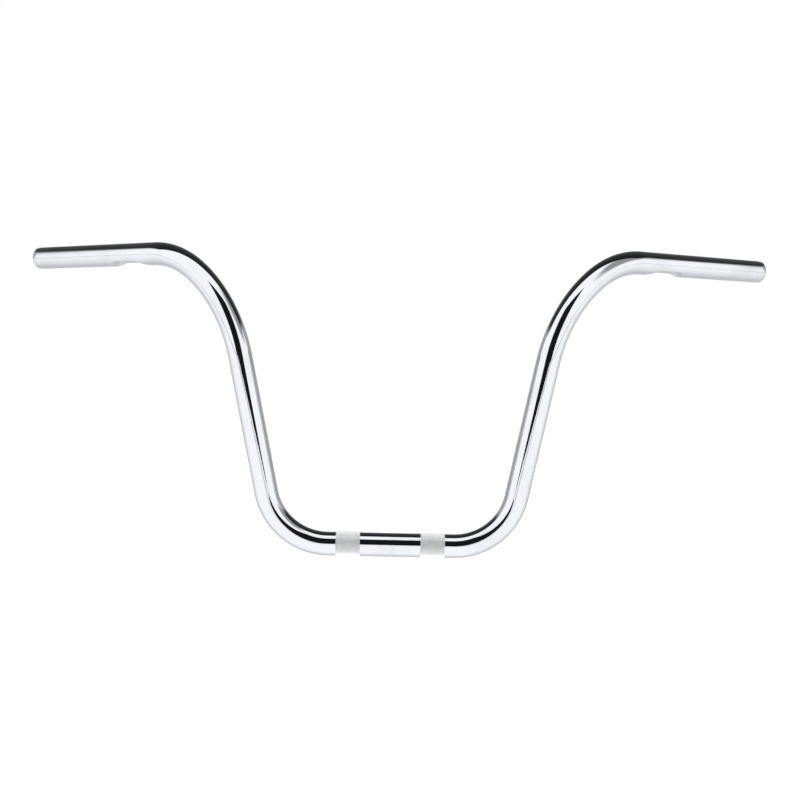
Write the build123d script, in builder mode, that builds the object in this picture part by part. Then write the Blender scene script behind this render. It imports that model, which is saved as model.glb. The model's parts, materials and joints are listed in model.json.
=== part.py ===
from build123d import *
import os
from collections import namedtuple
from math import acos, cos, degrees, radians, sin

# High-rise ("ape hanger") motorcycle handlebar, bent from one length of steel tube.
# Origin: middle of the clamp section, on the tube's axis. X runs along the clamp section, +Y
# points back to the rider and +Z up. Left and right are the rider's, so left is the +X side.
# Lengths are in millimetres and angles in degrees.

# Tube
tube_od = 25.4
tube_wall = 3.05
end_chamfer = 0.8           # outer edge of each open end
bore_chamfer = 0.5          # inner edge of each open end
plug_seat_depth = 60.0      # each end is reamed true, so that a bar-end plug seats in it
plug_seat_ream = 0.2        # taken off the wall by the reamer

# Clamp section: two knurled bands, held by the risers of the fork's top yoke
clamp_spacing = 88.9        # between the middles of the two bands
band_width = 25.4
band_crest = 0.5            # crests of the knurl above the plain tube
band_root = 0.3             # roots of the knurl below the plain tube
band_chamfer = 0.25
band_to_bend = 8.85         # plain tube left between a band and its bend

# Lower bends, from the clamp section up into the risers
lower_bend_radius = 67.0
riser_angle = 78.2          # slope of a riser, up from level

# Overall rise, from the axis of the clamp section to the axes of the grips
rise = 304.8

# Upper bends: a wide bend that runs into a tighter one, both in one tilted plane
wide_bend_radius = 140.0
wide_bend_angle = 46.0
tight_bend_radius = 106.0

# Grips: level, and swept back from the X axis
grip_length = 197.0
grip_sweep = 38.0

# Wiring dimple: the wall pressed in along the underside of each grip, next to the bend
dimple_length = 64.0
dimple_depth = 6.0
dimple_outer_ramp = 11.0    # short, steep end toward the open end of the tube
dimple_inner_ramp = 26.0    # long, shallow end toward the bend
dimple_to_bend = 2.0
dimple_corner = 3.0         # rounding where a ramp meets the floor
punch_radius = 20.0

# Values that follow from the ones above
tube_radius = tube_od / 2
bore_radius = tube_radius - tube_wall
half_clamp = clamp_spacing / 2 + band_width / 2 + band_to_bend
seat_radius = tube_radius - band_root
crest_radius = tube_radius + band_crest

# Directions along a riser and a grip, and from the riser's axis to the middle of its upper bend
up = Vector(0, 0, 1)
riser_way = Vector(cos(radians(riser_angle)), 0, sin(radians(riser_angle)))
grip_way = Vector(cos(radians(grip_sweep)), sin(radians(grip_sweep)), 0)
upper_toward = (grip_way - riser_way * riser_way.dot(grip_way)).normalized()
tight_bend_angle = degrees(acos(riser_way.dot(grip_way))) - wide_bend_angle

# A run of tube starts on a plane across its axis, whose x points to the middle of its bend
Run = namedtuple("Run", "start length axis angle")


def straight(start, length):
    """A straight run, and the plane where it ends."""
    return Run(start, length, None, None), start.offset(length)


def bend(start, radius, angle):
    """A bent run, and the plane where it ends."""
    way, toward, turn = start.z_dir, start.x_dir, radians(angle)
    middle = start.origin + toward * radius
    end_way = way * cos(turn) + toward * sin(turn)
    end_toward = toward * cos(turn) - way * sin(turn)
    end = Plane(origin=middle - end_toward * radius, x_dir=end_toward, z_dir=end_way)
    return Run(start, None, Axis(middle, way.cross(toward)), angle), end


def half_bar(riser_length):
    """The runs from the middle of the clamp section to the left end, and the plane of that end."""
    middle = Plane(origin=(0, 0, 0), x_dir=up, z_dir=(1, 0, 0))
    clamp, clamp_end = straight(middle, half_clamp)
    lower, lower_end = bend(clamp_end, lower_bend_radius, riser_angle)
    riser, riser_end = straight(lower_end, riser_length)
    upper_start = Plane(origin=riser_end.origin, x_dir=upper_toward, z_dir=riser_way)
    wide, wide_end = bend(upper_start, wide_bend_radius, wide_bend_angle)
    tight, tight_end = bend(wide_end, tight_bend_radius, tight_bend_angle)
    grip, grip_end = straight(tight_end, grip_length)
    return [clamp, lower, riser, wide, tight, grip], grip_end


# The riser makes up what the bends leave of the rise
bends_alone = half_bar(0)[1].origin.Z
riser_length = (rise - bends_alone) / riser_way.Z
runs, grip_end = half_bar(riser_length)

# Two planes at the open end, for work on the grip: one across the tube, looking in, and one
# along it, with its x running in towards the bend and its y up
across_grip = Plane(origin=grip_end.origin, x_dir=grip_way.cross(up), z_dir=-grip_way)
along_grip = Plane(origin=grip_end.origin, x_dir=-grip_way, z_dir=up.cross(grip_way))


def dimple_punch(swell):
    """The punch that presses the dimple, grown all round by swell."""
    inner_end = grip_length - dimple_to_bend
    outer_end = inner_end - dimple_length
    floor = dimple_depth - tube_radius
    with BuildPart() as punch:
        with BuildSketch(across_grip):
            with Locations((0, floor - punch_radius)):
                Circle(punch_radius + swell)
        extrude(amount=grip_length)
        with BuildSketch(along_grip):
            with BuildLine():
                Polyline(
                    (outer_end, -tube_radius),
                    (outer_end + dimple_outer_ramp, floor),
                    (inner_end - dimple_inner_ramp, floor),
                    (inner_end, -tube_radius),
                    (inner_end, -tube_od),
                    (outer_end, -tube_od),
                    close=True,
                )
            make_face()
            fillet(vertices().group_by(Axis.Z)[-1], radius=dimple_corner)
            if swell:
                offset(amount=swell)
        extrude(amount=tube_od, both=True, mode=Mode.INTERSECT)
    return punch.part


# The inside of the pressed wall, as far out as the middle of the tube's wall
with BuildPart() as dimple_backing:
    add(dimple_punch(tube_wall))
    with BuildSketch(across_grip):
        Circle((tube_radius + bore_radius) / 2)
    extrude(amount=grip_length, mode=Mode.INTERSECT)

with BuildPart() as bar_tube:
    for run in runs:
        with BuildSketch(run.start):
            Circle(tube_radius)
            Circle(bore_radius, mode=Mode.SUBTRACT)
        if run.length:
            extrude(amount=run.length)
        else:
            revolve(axis=run.axis, revolution_arc=run.angle)

    # Open end: reamed inside, with both rims deburred
    with BuildSketch(across_grip):
        Circle(bore_radius + plug_seat_ream)
    extrude(amount=plug_seat_depth, mode=Mode.SUBTRACT)
    end_face = faces().sort_by_distance(grip_end.origin)[0]
    bore_rim, outer_rim = end_face.edges().sort_by(SortBy.LENGTH)
    chamfer(outer_rim, length=end_chamfer)
    end_face = faces().sort_by_distance(grip_end.origin)[0]
    bore_rim, outer_rim = end_face.edges().sort_by(SortBy.LENGTH)
    chamfer(bore_rim, length=bore_chamfer)

    # Dimple: the wall moves in as one, so its inside is filled before its outside is cut
    add(dimple_backing.part)
    add(dimple_punch(0), mode=Mode.SUBTRACT)

    # Seat of the knurled band
    with BuildSketch(Plane.YZ.offset(clamp_spacing / 2 - band_width / 2)):
        Circle(crest_radius)
        Circle(seat_radius, mode=Mode.SUBTRACT)
    extrude(amount=band_width, mode=Mode.SUBTRACT)

    mirror(about=Plane.YZ)

bar_tube.part.label = "bar_tube"
os.makedirs("parts", exist_ok=True)
export_step(bar_tube.part, "parts/bar_tube.step")

for side, way in (("left", 1), ("right", -1)):
    with BuildPart() as knurled_band:
        with BuildSketch(Plane.YZ.offset(way * clamp_spacing / 2 - band_width / 2)):
            Circle(crest_radius)
            Circle(seat_radius, mode=Mode.SUBTRACT)
        extrude(amount=band_width)
        crest_rims = edges().filter_by(GeomType.CIRCLE).group_by(SortBy.RADIUS)[-1]
        chamfer(crest_rims, length=band_chamfer)
    knurled_band.part.label = f"{side}_knurled_band"
    export_step(knurled_band.part, f"parts/{side}_knurled_band.step")

print("riser", round(riser_length, 2), "tight bend", round(tight_bend_angle, 2))
print("middle of the left end", grip_end.origin)
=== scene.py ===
# %% [markdown]
# # A chrome high-rise handlebar
# The real object is one length of 1 inch steel tube. It is bent four times, dimpled under the
# grips for wiring, knurled where the risers clamp it, polished and chrome-plated. Nothing else is
# fitted to it. The bar's shape is simple and the finish is a mirror, so the work lies in a mesh
# smooth enough to reflect cleanly, a real knurl, and surroundings worth reflecting.
#
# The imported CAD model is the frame. Every piece made here takes its place and size from it.

# %% Load the frame
import json
from math import acos, atan2, cos, degrees, pi, radians, sin, sqrt, tan

import bmesh
import bpy
from mathutils import Matrix, Vector


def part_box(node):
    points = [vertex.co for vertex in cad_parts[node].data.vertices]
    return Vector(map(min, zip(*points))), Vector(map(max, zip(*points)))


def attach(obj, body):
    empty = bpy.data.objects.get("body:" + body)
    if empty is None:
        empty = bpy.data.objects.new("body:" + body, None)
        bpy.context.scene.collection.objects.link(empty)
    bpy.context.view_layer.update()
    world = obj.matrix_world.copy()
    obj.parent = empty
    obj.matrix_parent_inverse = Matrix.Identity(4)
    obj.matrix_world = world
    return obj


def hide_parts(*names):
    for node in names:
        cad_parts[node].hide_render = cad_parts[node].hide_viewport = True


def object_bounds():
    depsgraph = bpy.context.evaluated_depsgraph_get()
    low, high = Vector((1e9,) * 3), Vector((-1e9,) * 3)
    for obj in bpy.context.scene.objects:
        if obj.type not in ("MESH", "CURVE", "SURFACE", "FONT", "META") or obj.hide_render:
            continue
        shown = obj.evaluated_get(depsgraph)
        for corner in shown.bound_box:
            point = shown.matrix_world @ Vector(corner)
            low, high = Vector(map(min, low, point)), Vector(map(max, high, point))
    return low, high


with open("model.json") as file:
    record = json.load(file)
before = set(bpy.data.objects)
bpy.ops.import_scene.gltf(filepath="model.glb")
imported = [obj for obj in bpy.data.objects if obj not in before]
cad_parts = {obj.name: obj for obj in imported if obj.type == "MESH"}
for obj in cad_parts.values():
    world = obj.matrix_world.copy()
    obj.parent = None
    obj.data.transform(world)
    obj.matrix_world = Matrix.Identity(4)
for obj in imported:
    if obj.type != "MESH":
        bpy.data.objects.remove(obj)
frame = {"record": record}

cad_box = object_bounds()
print("CAD box", [[round(c, 5) for c in corner] for corner in cad_box])

# %% [markdown]
# ## Sizes
# The record's mounts hold most of what a bender needs: the tube's radius, where the grips lie and
# which way they point, and where the clamps sit. The bends have no mount, so their radii and
# angles are the bender's own settings, repeated here in metres and radians.

# %% Read the sizes that the frame knows
mounts = {mount["name"]: mount for mount in frame["record"]["mounts"]}
grip_seat, end_bore = mounts["left_grip_seat"], mounts["left_end_bore"]
tube_radius = grip_seat["dims"]["r_mm"] / 1000
grip_way = Vector(grip_seat["axis"]).normalized()
rise = grip_seat["pos_m"][2]
ream_radius = end_bore["dims"]["r_mm"] / 1000
band_low, band_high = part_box("left_knurled_band")
band_inner, band_outer = band_low.x, band_high.x
# The CAD mesh is a polygon, so its extents differ by microns. The smaller one is inside its box.
crest_radius = min(-band_low.y, -band_low.z)
print("tube radius", tube_radius, "rise", rise, "band from", band_inner, "to", band_outer)

# %% The bender's settings
tube_wall = 0.00305
half_clamp = 0.066
lower_bend_radius, riser_angle = 0.067, radians(78.2)
wide_bend_radius, wide_bend_angle = 0.140, radians(46)
tight_bend_radius = 0.106
grip_length = 0.197
seat_depth = 0.0003
seat_radius = tube_radius - seat_depth
riser_way = Vector((cos(riser_angle), 0, sin(riser_angle)))
upper_toward = (grip_way - riser_way * riser_way.dot(grip_way)).normalized()
tight_bend_angle = acos(riser_way.dot(grip_way)) - wide_bend_angle
print("tight bend", round(degrees(tight_bend_angle), 2), "degrees")

# %% [markdown]
# ## Bending the tube
# A tube could be a curve with a round bevel, or a circle swept along a path. Here it is made as the
# bender makes it. A ring of vertices is pushed straight ahead by extruding it, and turned about the
# middle of each bend by spinning it, so every bend is a true torus. Each vertex keeps two notes:
# `unbent`, its place on the straight tube before bending, which later carries the polishing marks
# round the bends, and `spine`, the middle of its ring, from which a radius can be measured.

# %% Push a ring ahead, or turn it
AROUND = 88
STRAIGHT_STEP, BEND_STEP = 0.009, radians(1.8)


def take_ring(bm, geom, advance, middle):
    """The edges of the newest ring, with its notes brought up to date."""
    unbent, spine = bm.verts.layers.float_vector["unbent"], bm.verts.layers.float_vector["spine"]
    verts = {g for g in geom if isinstance(g, bmesh.types.BMVert)}
    for vert in verts:
        vert[unbent] = vert[unbent] + Vector((advance, 0, 0))
        vert[spine] = middle
    return [g for g in geom if isinstance(g, bmesh.types.BMEdge) and set(g.verts) <= verts]


def push(bm, head, length, step=STRAIGHT_STEP):
    """A straight run ahead of the head: its ring, middle, way and side are a dict."""
    steps = max(1, round(length / step))
    for _ in range(steps):
        head["middle"] = head["middle"] + head["way"] * length / steps
        geom = bmesh.ops.extrude_edge_only(bm, edges=head["ring"])["geom"]
        new = [g for g in geom if isinstance(g, bmesh.types.BMVert)]
        bmesh.ops.translate(bm, verts=new, vec=head["way"] * length / steps)
        head["ring"] = take_ring(bm, geom, length / steps, head["middle"])


def turn(bm, head, radius, angle):
    """A bend towards the head's side, about a middle one radius away."""
    steps = max(1, round(angle / BEND_STEP))
    centre, axis = head["middle"] + head["side"] * radius, head["way"].cross(head["side"])
    small = Matrix.Rotation(angle / steps, 3, axis)
    for _ in range(steps):
        geom = bmesh.ops.spin(bm, geom=head["ring"], cent=centre, axis=axis, angle=angle / steps,
                              steps=1, use_merge=False, use_duplicate=False)["geom_last"]
        head["middle"] = centre + small @ (head["middle"] - centre)
        head["way"], head["side"] = small @ head["way"], small @ head["side"]
        head["ring"] = take_ring(bm, geom, radius * angle / steps, head["middle"])


# %% The first ring, in the middle of the clamp section
bar = bmesh.new()
unbent = bar.verts.layers.float_vector.new("unbent")
spine = bar.verts.layers.float_vector.new("spine")
first = bmesh.ops.create_circle(bar, segments=AROUND, radius=tube_radius,
                                matrix=Matrix.Rotation(pi / 2, 4, "Y"))["verts"]
for vert in first:
    vert[unbent] = vert.co
head = {"ring": list(bar.edges), "middle": Vector(), "way": Vector((1, 0, 0)), "side": Vector((0, 0, 1))}
print("ring of", len(first), "points,", round(2000 * pi * tube_radius / AROUND, 2), "mm apart")

# %% Clamp section, with a close pair of rings at each end of the band's seat
# Two rings 0.04 mm apart keep a step crisp.
EDGE = 0.00004
push(bar, head, band_inner)
push(bar, head, EDGE)
push(bar, head, band_outer - band_inner - 2 * EDGE)
push(bar, head, EDGE)
push(bar, head, half_clamp - band_outer)
turn(bar, head, lower_bend_radius, riser_angle)
print("riser starts at", [round(c, 4) for c in head["middle"]])

# %% [markdown]
# The riser is as long as the rise leaves it. The height that the upper bends gain is known before
# they are made: a bend gains its radius times the sine along its way, and its radius times one
# minus the cosine along its side.

# %% Riser and upper bends
def climb(way, side, radius, angle):
    """Height that a bend gains."""
    return radius * (way.z * sin(angle) + side.z * (1 - cos(angle)))


first_turn = Matrix.Rotation(wide_bend_angle, 3, riser_way.cross(upper_toward))
upper_climb = climb(riser_way, upper_toward, wide_bend_radius, wide_bend_angle)
second_way, second_toward = first_turn @ riser_way, first_turn @ upper_toward
upper_climb += climb(second_way, second_toward, tight_bend_radius, tight_bend_angle)
push(bar, head, (rise - upper_climb - head["middle"].z) / riser_way.z)
head["side"] = upper_toward
turn(bar, head, wide_bend_radius, wide_bend_angle)
turn(bar, head, tight_bend_radius, tight_bend_angle)
bend_end = head["middle"].copy()
print("grip starts at", [round(c, 4) for c in bend_end])

# %% [markdown]
# ## The wiring dimple
# A press pushes the wall in under each grip, so that switch wires pass below the lever clamp. The
# punch is a rounded bar with a steep outer end and a long inner ramp, and away from the dimple it
# stays clear of the tube by the width of the lip. Cutting the dimple out would leave a hole, as it
# is deeper than the wall. So the grip gets close rings there, and each point that the punch reaches
# is lifted on to it, with a soft lip where the two surfaces meet. The wall gets its thickness
# later, and then follows the dimple inside as pressed metal does.

# %% Grip, with close rings along the dimple
dimple_gap, dimple_length, dimple_depth = 0.002, 0.064, 0.006
outer_ramp, inner_ramp, punch_radius, lip = 0.011, 0.026, 0.020, 0.0016
ream_depth = 0.060
CLOSE_STEP = 0.001
push(bar, head, dimple_gap + dimple_length + dimple_gap, step=CLOSE_STEP)
push(bar, head, grip_length - 2 * dimple_gap - dimple_length - ream_depth - EDGE)
push(bar, head, EDGE)
push(bar, head, ream_depth)
half_length = max(vert[unbent].x for vert in bar.verts)
grip_end = head["middle"].copy()
print("end at", [round(c, 4) for c in grip_end], "half length", round(half_length, 4), "m")


# %% Press the dimple
def ease(x):
    """0 to 1, starting and stopping gently."""
    x = min(max(x, 0), 1)
    return x * x * (3 - 2 * x)


def punch_height(inward, across):
    """Height of the punch over the grip's axis, that far in from the end and that far across."""
    outer_end = grip_length - dimple_gap - dimple_length
    ramps = min(ease((inward - outer_end) / outer_ramp),
                ease((outer_end + dimple_length - inward) / inner_ramp))
    crown = punch_radius - sqrt(max(punch_radius ** 2 - across ** 2, 0))
    return (dimple_depth + lip) * ramps - tube_radius - lip - crown


pressed = 0
across_way = grip_way.cross(Vector((0, 0, 1)))
for vert in bar.verts:
    inward = half_length - vert[unbent].x
    if inward > grip_length:
        continue
    out = vert.co - vert[spine]
    punch = punch_height(inward, out.dot(across_way))
    # Where skin and punch are within a lip of each other, this rounds the corner between them.
    blend = max(lip - abs(out.z - punch), 0) ** 2 / (4 * lip)
    if out.z < 0 and punch > -tube_radius - lip and max(out.z, punch) + blend > out.z:
        vert.co.z = vert[spine].z + max(out.z, punch) + blend
        pressed += 1
print("points lifted by the punch:", pressed)

# %% [markdown]
# ## From half a skin to a tube
# The two halves mirror each other. The wall is then given its thickness inwards, which also closes
# the two ends with a flat ring. Last come the small cuts: the seats under the bands, the reamed
# ends and the rims, which are rounded off as a deburring tool leaves them.

# %% Mirror, and give the wall its thickness
bmesh.ops.mirror(bar, geom=bar.verts[:] + bar.edges[:] + bar.faces[:], axis="X", merge_dist=1e-5)
for vert in bar.verts:
    if vert.co.x < -1e-6:
        for note in (unbent, spine):
            vert[note] = Vector((-vert[note].x, vert[note].y, vert[note].z))
bmesh.ops.recalc_face_normals(bar, faces=bar.faces[:])
skin = len(bar.faces)
bmesh.ops.solidify(bar, geom=bar.faces[:], thickness=tube_wall)
bmesh.ops.recalc_face_normals(bar, faces=bar.faces[:])
radii = [(vert.co - vert[spine]).length for vert in bar.verts if abs(vert.co.x) < half_clamp]
print("faces", skin, "to", len(bar.faces), "radii", round(min(radii), 5), round(max(radii), 5))

# %% Seats under the bands, and the reamed ends
seated = reamed = 0
for vert in bar.verts:
    out = vert.co - vert[spine]
    outside = out.length > tube_radius - tube_wall / 2
    in_seat = band_inner + EDGE / 2 < abs(vert.co.x) < band_outer - EDGE / 2
    in_ream = half_length - abs(vert[unbent].x) < ream_depth + EDGE / 2
    if outside and in_seat:
        # A hair deeper than the band's inner face, so that the two skins never touch.
        vert.co = vert[spine] + out * (seat_radius - EDGE) / tube_radius
        seated += 1
    if not outside and in_ream:
        vert.co = vert[spine] + out * ream_radius / (tube_radius - tube_wall)
        reamed += 1
print("points in the seats:", seated, "and in the reamed ends:", reamed)

# %% Chamfer the rims of both ends, and ease the edges that this leaves
RIM_DEPTH = 0.0012
# In radians. A square rim turns by 1.57, and each edge of its chamfer by half of that.
SQUARE_OVER, CHAMFER_OVER = 1.0, 0.5


def rim_edges(bm, least_angle):
    """The crisp edges that run round an open end, outer ones and inner ones."""
    found = {"outer": [], "inner": []}
    for edge in bm.edges:
        middle = (edge.verts[0].co + edge.verts[1].co) / 2
        away = (abs(middle.x) - grip_end.x) * grip_way.x + (middle.y - grip_end.y) * grip_way.y
        if away > -RIM_DEPTH and len(edge.link_faces) == 2 and edge.calc_face_angle() > least_angle:
            out = middle - grip_end if middle.x > 0 else middle - Vector((-grip_end.x, *grip_end.yz))
            outer = sqrt(max(out.length_squared - away ** 2, 0)) > tube_radius - tube_wall / 2
            found["outer" if outer else "inner"].append(edge)
    return found


def bevel_edges(bm, edges, offset, segments):
    """One segment is a flat chamfer, and more segments round the edge off."""
    return bmesh.ops.bevel(bm, geom=edges, offset=offset, offset_type="OFFSET", affect="EDGES",
                           segments=segments, profile=0.5, material=-1, clamp_overlap=True)


rims = rim_edges(bar, SQUARE_OVER)
print("rim edges", len(rims["outer"]), len(rims["inner"]))
bevel_edges(bar, rims["outer"], 0.0008, 1)
bevel_edges(bar, rims["inner"], 0.0005, 1)
crisp = rim_edges(bar, CHAMFER_OVER)
bevel_edges(bar, crisp["outer"] + crisp["inner"], 0.0002, 2)
print("chamfer edges eased", len(crisp["outer"]) + len(crisp["inner"]))


# %% [markdown]
# A finished bmesh becomes an object at the origin with its place in its mesh. Faces are smooth,
# and an edge is sharp only where two faces meet at more than a set angle.

# %% Turn a bmesh into a piece
def new_piece(name, bm, sharp_over=radians(35)):
    """An object made from the bmesh, which is used up."""
    for face in bm.faces:
        face.smooth = True
    for edge in bm.edges:
        if len(edge.link_faces) == 2 and edge.calc_face_angle() > sharp_over:
            edge.smooth = False
    mesh = bpy.data.meshes.new(name)
    bm.to_mesh(mesh)
    bm.free()
    piece = bpy.data.objects.new(name, mesh)
    bpy.context.scene.collection.objects.link(piece)
    triangles = sum(len(polygon.vertices) - 2 for polygon in mesh.polygons)
    print(name, triangles, "triangles")
    return piece


# %% The bar, with its inside marked for a finish of its own
# Plating wraps round the rim and reaches this far in.
plated_inside = 0.004
for face in bar.faces:
    middle = sum((vert[spine] for vert in face.verts), Vector()) / len(face.verts)
    depth_in = half_length - min(abs(vert[unbent].x) for vert in face.verts)
    inside = face.normal.dot(face.calc_center_median() - middle) < 0
    face.material_index = 1 if inside and depth_in > plated_inside else 0
bar_piece = new_piece("bent_tube", bar)
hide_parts("bar_tube")
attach(bar_piece, "root")

# %% [markdown]
# ## The knurl
# Two sets of helical grooves are rolled into the tube where the clamps bite, and they leave rows of
# small pyramids with worn tips. The grooves run at 30 degrees to the tube, so a diamond is longer
# than it is wide. One way is a checkerboard: on a ring of rings, every second point is a tip and
# the rest lie in the grooves. Joining the groove points across each face makes the grooves run
# straight, and a vertex bevel wears the tips flat. A common knurl is 1.2 mm from tip to tip.

# %% Count the tips
# The grooves end 0.02 mm under the tube's skin, and a tip loses a quarter of its height to wear.
KNURL_PITCH, KNURL_HELIX = 0.0012, radians(30)
TIP_WEAR = 0.26
band_width = band_outer - band_inner
band_chamfer, groove_radius = 0.00025, 0.01268
tips_around = round(2 * pi * crest_radius / KNURL_PITCH)
tip_to_tip = 2 * pi * crest_radius / tips_around
rows = 2 * round((band_width - 2 * band_chamfer) * tan(KNURL_HELIX) / tip_to_tip)
# Sharp tips would stand this high, and the wear brings them down to the crest.
tip_radius = (crest_radius - TIP_WEAR * groove_radius) / (1 - TIP_WEAR)
print("tips around", tips_around, "rows", rows, "tip to tip", round(1000 * tip_to_tip, 2), "mm")


# %% Turn a ring into the next one of a band
def next_ring(bm, edges, along, radius):
    """Extrudes a ring along X and sets its distance from the axis."""
    geom = bmesh.ops.extrude_edge_only(bm, edges=edges)["geom"]
    verts = [g for g in geom if isinstance(g, bmesh.types.BMVert)]
    bmesh.ops.translate(bm, verts=verts, vec=(along, 0, 0))
    set_radius(verts, radius)
    return [g for g in geom if isinstance(g, bmesh.types.BMEdge) and set(g.verts) <= set(verts)], verts


def set_radius(verts, radius):
    """Moves points straight out from the axis, or in towards it."""
    for vert in verts:
        out = Vector((0, vert.co.y, vert.co.z)).normalized() * radius
        vert.co.y, vert.co.z = out.y, out.z


def places_alike(verts, row):
    """The points of a ring that are tips in that row, and those that lie in a groove."""
    count = {vert: round(atan2(vert.co.z, vert.co.y) * tips_around / pi) + row for vert in verts}
    return [v for v in verts if count[v] % 2 == 0], [v for v in verts if count[v] % 2]


# %% Roll one band
def knurled_band(name, side):
    """A closed ring with the knurl outside. side is 1 for +X and -1 for -X."""
    bm = bmesh.new()
    turned = Matrix.Translation((band_inner, 0, 0)) @ Matrix.Rotation(pi / 2, 4, "Y")
    end_ring = bmesh.ops.create_circle(bm, segments=2 * tips_around, radius=crest_radius,
                                       matrix=turned)["verts"]
    start = ring = list(bm.edges)
    step = (band_width - 2 * band_chamfer) / rows
    tips, grooves = [], []
    for row in range(rows + 1):
        ring, verts = next_ring(bm, ring, step if row else band_chamfer, groove_radius)
        row_tips, row_grooves = places_alike(verts, row)
        tips += row_tips
        grooves += row_grooves
    ring, far_ring = next_ring(bm, ring, band_chamfer, crest_radius)
    for verts, row in ((end_ring, 0), (far_ring, rows)):
        under_tips, under_grooves = places_alike(verts, row)
        set_radius(under_tips, crest_radius - band_chamfer)
        set_radius(under_grooves, groove_radius - band_chamfer / 2)
    ring, _ = next_ring(bm, ring, 0, seat_radius)
    ring, _ = next_ring(bm, ring, -band_width, seat_radius)
    bmesh.ops.bridge_loops(bm, edges=ring + start)
    bmesh.ops.connect_verts(bm, verts=grooves)
    set_radius(tips, tip_radius)
    bmesh.ops.bevel(bm, geom=tips, offset=100 * TIP_WEAR, offset_type="PERCENT", affect="VERTICES",
                    segments=1, profile=0.5, material=-1, clamp_overlap=True)
    set_radius([v for v in bm.verts if Vector((0, v.co.y, v.co.z)).length > crest_radius], crest_radius)
    bmesh.ops.scale(bm, verts=bm.verts[:], vec=(side, 1, 1))
    bmesh.ops.recalc_face_normals(bm, faces=bm.faces[:])
    piece = new_piece(name, bm)
    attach(piece, "root")
    return piece


left_band = knurled_band("left_knurl", 1)
right_band = knurled_band("right_knurl", -1)
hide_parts("left_knurled_band")
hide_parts("right_knurled_band")
print("band tips reach", round(1000 * max(v.co.z for v in left_band.data.vertices), 3), "mm")


# %% [markdown]
# ## Finishes
# Colours are given as sRGB hex, as on a paint card, and turned linear for the shader. One helper
# adds any node. Its values and links go by socket, in a dict by name or in a list in the sockets'
# order, and its settings follow by name. So a Math node takes [a, b], or [a, b, c] to multiply and
# add, and a Map Range node takes [value, where it starts, where it ends, result at the start,
# result at the end].

# %% Colour and node helpers
SMOOTH = {"interpolation_type": "SMOOTHSTEP"}


def linear(hex_colour):
    """The linear values of an sRGB hex colour."""
    channels = [int(hex_colour[i:i + 2], 16) / 255 for i in (1, 3, 5)]
    return [c / 12.92 if c <= 0.04045 else ((c + 0.055) / 1.055) ** 2.4 for c in channels] + [1]


def add(tree, kind, inputs=(), **settings):
    """A node with its settings. An input is a value, a socket, or a node for its first live output."""
    node = tree.nodes.new(kind)
    for name, value in settings.items():
        setattr(node, name, value)
    for key, value in inputs.items() if isinstance(inputs, dict) else enumerate(inputs):
        if isinstance(value, bpy.types.Node):
            value = next(socket for socket in value.outputs if socket.enabled)
        if isinstance(value, bpy.types.NodeSocket):
            tree.links.new(value, node.inputs[key])
        else:
            node.inputs[key].default_value = value
    return node


def new_material(name):
    """A material whose node tree is still empty."""
    material = bpy.data.materials.new(name)
    material.use_nodes = True
    material.node_tree.nodes.clear()
    return material, material.node_tree


def unbent_place(tree):
    """The place on the straight tube, and how far along it that is from the middle."""
    place = add(tree, "ShaderNodeAttribute", attribute_name="unbent").outputs["Vector"]
    along_tube = add(tree, "ShaderNodeSeparateXYZ", [place]).outputs["X"]
    return place, add(tree, "ShaderNodeMath", [along_tube], operation="ABSOLUTE")


# %% [markdown]
# ### Chrome-plated steel
# Bright chrome is a layer of chromium under a micron thick, over nickel on polished steel. It is a
# near mirror, a little darker and cooler than silver. What keeps it from looking unreal is small.
# The belt that polished the steel left a surface that rolls by a fraction of a degree, and the
# mirror shows that as stripes that wander. Hairlines run round the tube from the belt and along it
# from handling. Fingers and cloths leave a thin haze, thicker near the clamps and the ends, where
# the bar is held. The `unbent` note lets all of these follow the tube round its bends. Pattern
# scales are in cells per metre, so 1000 is a millimetre.

# %% Chrome plate: the patterns
chrome, tree = new_material("chrome_plated_steel")
place, from_middle = unbent_place(tree)
# Real belt hairlines are about 0.05 mm apart. Drawn 0.8 mm apart and 11 mm long, they just show.
belt_place = add(tree, "ShaderNodeMapping", {"Vector": place, "Scale": (1250, 90, 90)})
belt = add(tree, "ShaderNodeTexNoise", {"Vector": belt_place, "Scale": 1, "Detail": 3, "Roughness": 0.6})
# Handling scratches run along the tube, about 70 mm long and 2.4 mm apart.
rub_place = add(tree, "ShaderNodeMapping", {"Vector": place, "Scale": (14, 420, 420)})
rub = add(tree, "ShaderNodeTexNoise", {"Vector": rub_place, "Scale": 1, "Detail": 2, "Roughness": 0.7})
# Haze comes in patches of 30 mm or so, as wide as a hand or a cloth leaves them.
haze = add(tree, "ShaderNodeTexNoise", {"Vector": place, "Scale": 32, "Detail": 4, "Roughness": 0.6})
# The polished steel rolls in waves about 24 mm long.
roll = add(tree, "ShaderNodeTexNoise", {"Vector": place, "Scale": 42, "Detail": 1})
print("chrome patterns", len(tree.nodes), "nodes")

# %% Chrome plate: where it is held, hazy, scratched and worn
by_clamps = add(tree, "ShaderNodeMapRange", [from_middle, 0.075, 0.03], **SMOOTH)
by_ends = add(tree, "ShaderNodeMapRange", [from_middle, 0.60, 0.674], **SMOOTH)
held = add(tree, "ShaderNodeMath", [by_clamps, by_ends], operation="MAXIMUM")
# Haze is a little over half as thick where nobody holds the bar.
thickness = add(tree, "ShaderNodeMapRange", [held, 0, 1, 0.55, 1], **SMOOTH)
patches = add(tree, "ShaderNodeMapRange", [haze, 0.46, 0.74], **SMOOTH)
hazy = add(tree, "ShaderNodeMath", [patches, thickness], operation="MULTIPLY")
# Only the strongest part of the pattern is a scratch.
scratched = add(tree, "ShaderNodeMapRange", [rub, 0.64, 0.80], **SMOOTH)
# The rims are the last millimetre and a half of the unbent tube.
rim_wear = add(tree, "ShaderNodeMapRange", [from_middle, 0.6738, 0.6752], **SMOOTH)
print("with the marks", len(tree.nodes), "nodes")

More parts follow.
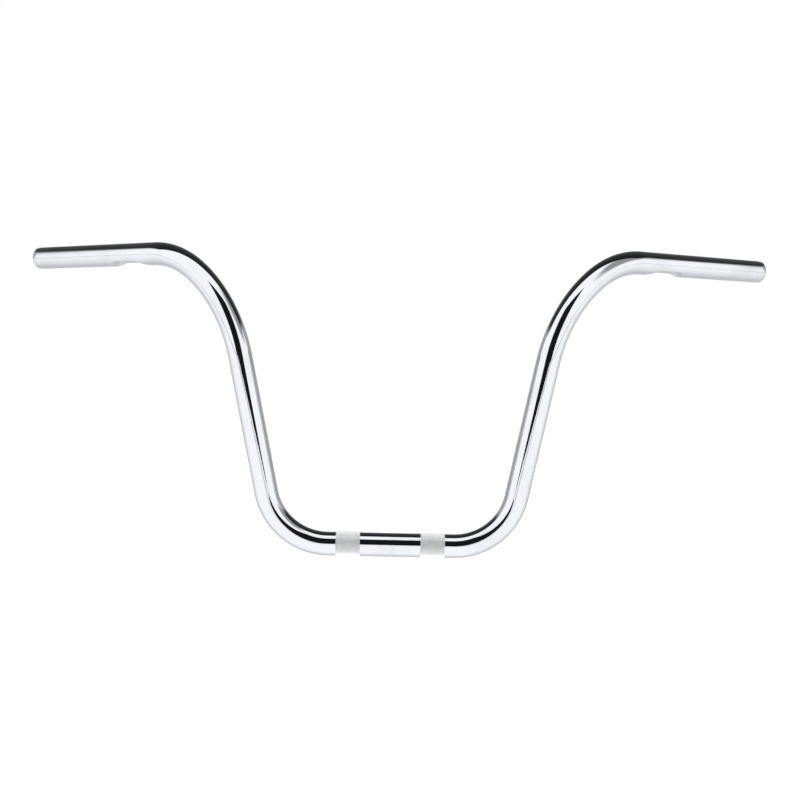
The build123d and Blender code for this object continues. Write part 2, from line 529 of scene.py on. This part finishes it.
# %% Chrome plate: roughness, colour and bump
# The belt leaves a roughness of 0.022 to 0.036, and each kind of mark adds its own.
roughness = add(tree, "ShaderNodeMapRange", [belt, 0.3, 0.7, 0.022, 0.036], **SMOOTH)
for mark, added in ((hazy, 0.055), (scratched, 0.05), (rim_wear, 0.16)):
    roughness = add(tree, "ShaderNodeMath", [mark, added, roughness], operation="MULTIPLY_ADD")
tone = add(tree, "ShaderNodeMix", {"Factor": hazy, "A": linear("#C8C9CB"), "B": linear("#BCBDBD")},
           data_type="RGBA")
# At a worn rim the nickel under the chrome shows half through.
nickel = add(tree, "ShaderNodeMath", [rim_wear, 0.5], operation="MULTIPLY")
tone = add(tree, "ShaderNodeMix", {"Factor": nickel, "A": tone, "B": linear("#A8A39B")}, data_type="RGBA")
# The waves are up to 0.07 mm high, and the lines a few hundredths of that.
rolled = add(tree, "ShaderNodeBump", {"Height": roll, "Strength": 1, "Distance": 0.00007})
fine_lines = add(tree, "ShaderNodeMath", [belt, scratched], operation="ADD")
lined = add(tree, "ShaderNodeBump", {"Height": fine_lines, "Strength": 0.25, "Distance": 0.000002,
                                     "Normal": rolled})
metal = add(tree, "ShaderNodeBsdfPrincipled", {"Base Color": tone, "Metallic": 1, "Roughness": roughness,
                                               "Normal": lined})
add(tree, "ShaderNodeOutputMaterial", {"Surface": metal})
bar_piece.data.materials.append(chrome)
print(chrome.name, len(tree.nodes), "nodes")

# %% [markdown]
# ### Inside of the tube
# Plating hardly reaches into a tube. Nickel flashes the first few centimetres, and past that the
# steel is as it was drawn, grey-brown with dried oil and fine lines along the tube.

# %% Bore
bore, tree = new_material("nickel_flashed_drawn_bore")
place, from_middle = unbent_place(tree)
# Draw lines are hundredths of a millimetre apart. These are 1 mm apart and 50 mm long, to show.
line_place = add(tree, "ShaderNodeMapping", {"Vector": place, "Scale": (20, 1000, 1000)})
lines = add(tree, "ShaderNodeTexNoise", {"Vector": line_place, "Scale": 1, "Detail": 3})
# Oil dries in stains about 7 mm wide.
stain = add(tree, "ShaderNodeTexNoise", {"Vector": place, "Scale": 150, "Detail": 5})
# The flash fades out over the last 40 mm or so, and is patchy where the steel is stained.
flash = add(tree, "ShaderNodeMapRange", [from_middle, 0.63, 0.672], **SMOOTH)
patchy = add(tree, "ShaderNodeMath", [stain, 0.25, flash], operation="MULTIPLY_ADD")
steel = add(tree, "ShaderNodeMix", {"Factor": stain, "A": linear("#5A544D"), "B": linear("#3C3733")},
            data_type="RGBA")
tone = add(tree, "ShaderNodeMix", {"Factor": patchy, "A": steel, "B": linear("#A09C95")}, data_type="RGBA")
roughness = add(tree, "ShaderNodeMapRange", [stain, 0.3, 0.7, 0.34, 0.58], **SMOOTH)
drawn = add(tree, "ShaderNodeBump", {"Height": lines, "Strength": 0.6, "Distance": 0.00006})
metal = add(tree, "ShaderNodeBsdfPrincipled", {"Base Color": tone, "Metallic": 1, "Roughness": roughness,
                                               "Normal": drawn})
add(tree, "ShaderNodeOutputMaterial", {"Surface": metal})
bar_piece.data.materials.append(bore)
print(bore.name, len(tree.nodes), "nodes")

# %% [markdown]
# ### Chrome over the knurl
# The knurl is rolled before plating. Its sides keep the grain of the rolled steel, so each face is
# satin, not mirror. The tips are smoother, since clamps and boxes rub them. The grooves are painted
# darker than the tips as shade, mixed with patches of dust. How far a point is from the axis says
# whether it is on a tip or in a groove.

# %% Knurl
knurl, tree = new_material("chrome_plated_rolled_knurl")
place = add(tree, "ShaderNodeTexCoord").outputs["Object"]
across = add(tree, "ShaderNodeMapping", {"Vector": place, "Scale": (0, 1, 1)})
from_axis = add(tree, "ShaderNodeVectorMath", [across], operation="LENGTH")
on_tip = add(tree, "ShaderNodeMapRange", [from_axis, groove_radius, crest_radius], **SMOOTH)
# The rolled grain is about 0.05 mm. It is drawn at 0.25 mm.
grain = add(tree, "ShaderNodeTexNoise", {"Vector": place, "Scale": 4000, "Detail": 2})
# Dust gathers in patches about 6 mm wide.
dust = add(tree, "ShaderNodeTexNoise", {"Vector": place, "Scale": 180, "Detail": 4})
# Painted shade: the grooves are darker than the tips, with patches of dust mixed in.
unshaded_and_clean = add(tree, "ShaderNodeMath", [dust, 0.35, on_tip], operation="MULTIPLY_ADD")
groove_shade_and_dust = add(tree, "ShaderNodeMapRange", [unshaded_and_clean, 0.55, 0.1], **SMOOTH)
tone = add(tree, "ShaderNodeMix", {"Factor": groove_shade_and_dust, "A": linear("#F4F4F4"), "B": linear("#A4A39F")},
           data_type="RGBA")
rubbed = add(tree, "ShaderNodeMapRange", [on_tip, 0, 1, 0.55, 0.42], **SMOOTH)
satin = add(tree, "ShaderNodeMath", [grain, 0.08, rubbed], operation="MULTIPLY_ADD")
grained = add(tree, "ShaderNodeBump", {"Height": grain, "Strength": 0.5, "Distance": 0.00003})
metal = add(tree, "ShaderNodeBsdfPrincipled", {"Base Color": tone, "Metallic": 1, "Roughness": satin,
                                               "Normal": grained})
add(tree, "ShaderNodeOutputMaterial", {"Surface": metal})
for piece in (left_band, right_band):
    piece.data.materials.append(knurl)
print(knurl.name, len(tree.nodes), "nodes")

# %% [markdown]
# ## The studio
# A mirror shows nothing but its surroundings, so they are half of the finish. In an all-white tent
# chrome would vanish. A studio for bright metal has large soft white surfaces with black cards
# among them, and each card becomes a crisp dark stripe that draws the shape. It could be built from
# many lamps and boards. Here one large dome is painted as the room: bright in front, softer behind,
# and a dark ceiling whose front edge lies over the bar. A black card hangs behind the camera. Both
# are seen only in reflections. The camera sees a white backdrop and, below the bar, a light table,
# which is left out of the reflections because the dome's lower half stands for it there.

# %% Stage pieces
def stage_piece(name, bm, material, seen):
    """Part of the room. Where seen is False it is there for reflections alone, and otherwise not."""
    mesh = bpy.data.meshes.new(name)
    bm.to_mesh(mesh)
    bm.free()
    mesh.materials.append(material)
    piece = bpy.data.objects.new(name, mesh)
    bpy.context.scene.collection.objects.link(piece)
    piece.visible_camera, piece.visible_glossy = seen, not seen
    print(name, "seen by the camera" if seen else "seen in reflections")


# %% [markdown]
# ### Painting the room
# The paint glows, and reads only the way from the middle of the dome. A patch of the room is where
# several soft edges overlap, such as the ceiling's front, back and sides, so one function
# multiplies edges. The strengths are light levels, where 1 is paper white.

# %% Ways round the dome
def patch(tree, edges):
    """1 inside every edge. An edge is a value, the value where it starts and the one where it ends."""
    inside = 1
    for value, start, end in edges:
        edge = add(tree, "ShaderNodeMapRange", [value, start, end], **SMOOTH)
        inside = add(tree, "ShaderNodeMath", [inside, edge], operation="MULTIPLY")
    return inside


room, tree = new_material("studio_room")
place = add(tree, "ShaderNodeTexCoord").outputs["Object"]
way = add(tree, "ShaderNodeVectorMath", [place], operation="NORMALIZE")
axes = add(tree, "ShaderNodeSeparateXYZ", [way])
away, height = axes.outputs["Y"], axes.outputs["Z"]
sideways = add(tree, "ShaderNodeMath", [axes.outputs["X"]], operation="ABSOLUTE")
# Degrees round from the front, the same on both sides.
towards = add(tree, "ShaderNodeMath", [away, -1], operation="MULTIPLY")
turned_by = add(tree, "ShaderNodeMath", [sideways, towards], operation="ARCTAN2")
degrees_round = add(tree, "ShaderNodeMath", [turned_by], operation="DEGREES")
# How far back and how far beside on a level ceiling, in heights of that ceiling.
up = add(tree, "ShaderNodeMath", [height, 0.001], operation="MAXIMUM")
back = add(tree, "ShaderNodeMath", [away, up], operation="DIVIDE")
beside = add(tree, "ShaderNodeMath", [sideways, up], operation="DIVIDE")
print("ways round the dome", len(tree.nodes), "nodes")

# %% Walls, with a grey panel on each side and a dim corner high on the right
FRONT_WALL, BACK_WALL = 1.60, 1.03
PANEL_DIMS_TO, CORNER_DIMS_TO = 0.55, 0.3
CORNER_WAY = (0.683, -0.183, 0.707)
walls = add(tree, "ShaderNodeMapRange", [away, -0.05, 0.35, FRONT_WALL, BACK_WALL], **SMOOTH)
panels = patch(tree, [(degrees_round, 93, 105), (degrees_round, 162, 138), (height, -0.02, 0.06)])
panel_light = add(tree, "ShaderNodeMapRange", [panels, 0, 1, 1, PANEL_DIMS_TO], **SMOOTH)
corner = add(tree, "ShaderNodeVectorMath", [way, CORNER_WAY], operation="DOT_PRODUCT")
corner_light = add(tree, "ShaderNodeMapRange", [corner, 0.90, 0.98, 1, CORNER_DIMS_TO], **SMOOTH)
for dimmer in (panel_light, corner_light):
    walls = add(tree, "ShaderNodeMath", [walls, dimmer], operation="MULTIPLY")
print("with the walls", len(tree.nodes), "nodes")

# %% Dark ceiling, and the light table with its darker edge
CEILING_FRONT, CEILING_BACK = 0.025, 0.12
TABLE_FRONT, TABLE_BACK = 1.60, 0.80
EDGE_DIMS_TO = 0.45
ceiling = patch(tree, [(back, -0.09, -0.05), (back, 2.2, 1.6), (beside, 1.8, 1.3)])
ceiling_light = add(tree, "ShaderNodeMapRange", [back, 0, 1.4, CEILING_FRONT, CEILING_BACK], **SMOOTH)
above = add(tree, "ShaderNodeMix", {"Factor": ceiling, "A": walls, "B": ceiling_light})
table_light = add(tree, "ShaderNodeMapRange", [away, -0.2, 0.9, TABLE_FRONT, TABLE_BACK], **SMOOTH)
table_edge = patch(tree, [(height, -0.045, -0.035), (height, -0.008, -0.018)])
edge_light = add(tree, "ShaderNodeMapRange", [table_edge, 0, 1, 1, EDGE_DIMS_TO], **SMOOTH)
below = add(tree, "ShaderNodeMath", [table_light, edge_light], operation="MULTIPLY")
over_table = add(tree, "ShaderNodeMapRange", [height, -0.008, 0], **SMOOTH)
light = add(tree, "ShaderNodeMix", {"Factor": over_table, "A": below, "B": above})
glow = add(tree, "ShaderNodeEmission", {"Color": linear("#FCFDFF"), "Strength": light})
add(tree, "ShaderNodeOutputMaterial", {"Surface": glow})
print(room.name, len(tree.nodes), "nodes")

# %% Dome
DOME_RADIUS = 6.0
bm = bmesh.new()
bmesh.ops.create_icosphere(bm, subdivisions=5, radius=DOME_RADIUS)
bmesh.ops.reverse_faces(bm, faces=bm.faces[:])
stage_piece("studio_dome", bm, room, seen=False)

# %% [markdown]
# ### The black card
# A card covered in black felt. Felt gives back almost no light and has no shine, so the stripe that
# it makes on the chrome is evenly dark, with an edge as crisp as the card's own.

# %% Card
CARD_LEFT, CARD_RIGHT, CARD_LOW, CARD_HIGH, CARD_AWAY = -1.22, 1.10, 0.11, 3.30, 2.4
felt, tree = new_material("black_felt_card")
cloth = add(tree, "ShaderNodeBsdfPrincipled", {"Base Color": linear("#0C0D0F"), "Roughness": 0.95})
add(tree, "ShaderNodeOutputMaterial", {"Surface": cloth})
bm = bmesh.new()
upright = Matrix.Translation(((CARD_LEFT + CARD_RIGHT) / 2, -CARD_AWAY, (CARD_LOW + CARD_HIGH) / 2))
upright @= Matrix.Rotation(pi / 2, 4, "X")
upright @= Matrix.Diagonal((CARD_RIGHT - CARD_LEFT, CARD_HIGH - CARD_LOW, 1, 1))
bmesh.ops.create_grid(bm, x_segments=1, y_segments=1, size=0.5, matrix=upright)
stage_piece("dark_card", bm, felt, seen=False)

# %% [markdown]
# ### The light table
# A sheet of opal acrylic, lit from below. The light spreads inside the sheet, so it glows evenly and
# shows no lamp, and its satin face has a faint mottle. The bar is shown above it with a gap, because
# in use its clamps hold it up.

# %% Table
FLOOR_DROP = 0.30
table, tree = new_material("opal_acrylic_light_table")
place = add(tree, "ShaderNodeTexCoord").outputs["Object"]
# The mottle is about 25 mm wide.
mottle = add(tree, "ShaderNodeTexNoise", {"Vector": place, "Scale": 40, "Detail": 4})
satin = add(tree, "ShaderNodeMapRange", [mottle, 0.3, 0.7, 0.52, 0.6], **SMOOTH)
opal = add(tree, "ShaderNodeBsdfPrincipled", {"Base Color": linear("#9C9C9C"), "Roughness": satin,
                                              "Emission Color": linear("#FFFFFF"),
                                              "Emission Strength": 0.92})
add(tree, "ShaderNodeOutputMaterial", {"Surface": opal})
bm = bmesh.new()
bmesh.ops.create_circle(bm, segments=96, radius=DOME_RADIUS * 0.98, cap_ends=True,
                        matrix=Matrix.Translation((0, 0, cad_box[0][2] - FLOOR_DROP)))
if sum(face.normal.z for face in bm.faces) < 0:
    bmesh.ops.reverse_faces(bm, faces=bm.faces[:])
stage_piece("light_table", bm, table, seen=True)

# %% Backdrop for the camera, and plain display of colour
world = bpy.data.worlds.new("white_backdrop")
world.use_nodes = True
world.node_tree.nodes["Background"].inputs["Color"].default_value = linear("#FFFFFF")
bpy.context.scene.world = world
bpy.context.scene.view_settings.view_transform = "Standard"
print("backdrop", world.name)

# %% [markdown]
# ## The camera
# It stands a little over a metre and a half in front, slightly above the middle of the bar, and
# looks a degree or two down. A long lens from that far keeps the bar's proportions, and still shows
# that the grips sweep away. A level camera aimed straight ahead would be simpler. This one is
# turned and rolled by about a degree, as one on a hand-set tripod is.

# %% Camera
LENS = 67.68
CAMERA_PLACE = (0.02641, -1.57683, 0.19905)
DEGREES_LEFT, DEGREES_DOWN, DEGREES_ROLLED = 0.70, 1.69, 1.15
camera_data = bpy.data.cameras.new("camera")
camera_data.lens = LENS
camera = bpy.data.objects.new("camera", camera_data)
bpy.context.scene.collection.objects.link(camera)
aim = Matrix.Rotation(radians(DEGREES_LEFT), 4, "Z")
aim @= Matrix.Rotation(radians(90 - DEGREES_DOWN), 4, "X")
aim @= Matrix.Rotation(radians(DEGREES_ROLLED), 4, "Z")
camera.matrix_world = Matrix.Translation(CAMERA_PLACE) @ aim
bpy.context.scene.camera = camera
print("camera at", CAMERA_PLACE, "with a lens of", LENS, "mm")
